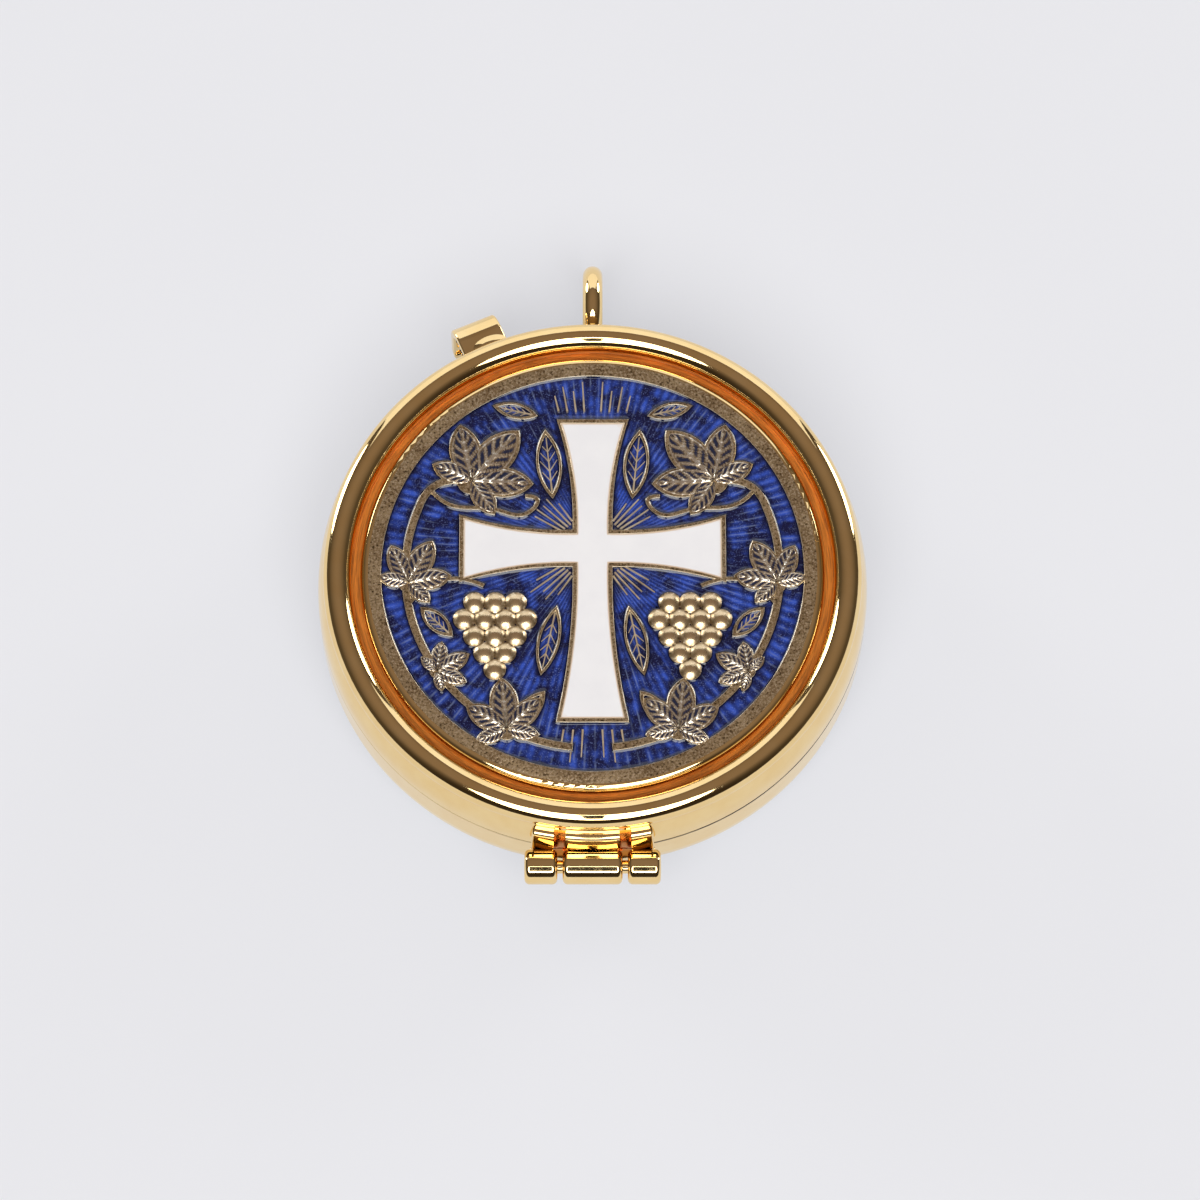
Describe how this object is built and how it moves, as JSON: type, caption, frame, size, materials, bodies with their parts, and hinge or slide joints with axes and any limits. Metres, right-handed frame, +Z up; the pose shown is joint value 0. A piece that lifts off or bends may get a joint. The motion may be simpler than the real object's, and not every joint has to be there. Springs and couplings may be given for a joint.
{
  "type": "pyx",
  "caption": "Round gilt case for altar breads with a hinged lid, an enamelled medallion, a snap latch and a ring for a cord",
  "frame": {"origin": "centre of the flat underside of the base cup, on the axis of the case", "axes": "+Z up through the lid, +Y towards the suspension ring, -Y towards the hinge, X along the hinge pin"},
  "size_m": [0.054, 0.0664, 0.0147],
  "materials": {
    "polished_gilt": "gold plated and mirror polished",
    "struck_metal": "antique gilt, matt grained ground with bright lines",
    "blue_enamel": "glossy translucent blue enamel",
    "white_enamel": "glossy opaque white enamel"
  },
  "bodies": {
    "base": {"base_cup": "polished_gilt", "seat_collar": "polished_gilt", "base_hinge_leaf": "polished_gilt", "hinge_knuckle_centre": "polished_gilt", "hinge_pin": "polished_gilt", "latch_catch": "polished_gilt", "suspension_ring": "polished_gilt"},
    "lid": {"lid_shell": "polished_gilt", "medallion_plate": "struck_metal", "blue_enamel": "blue_enamel", "white_enamel": "white_enamel", "lid_hinge_leaf": "polished_gilt", "hinge_knuckle_left": "polished_gilt", "hinge_knuckle_right": "polished_gilt"},
    "latch": {"latch_clip": "polished_gilt"}
  },
  "joints": [
    {"name": "lid_hinge", "type": "hinge", "parent": "base", "child": "lid", "pos_m": [0, -0.02885, 0.00925], "axis": [1, 0, 0], "range_deg": [0, 180]},
    {"name": "latch_flex", "type": "hinge", "parent": "lid", "child": "latch", "pos_m": [-0.01066, 0.02463, 0.01167], "axis": [0.9178, 0.3971, 0], "range_deg": [0, 7], "stiffness_Nm_per_rad": 0.05}
  ]
}
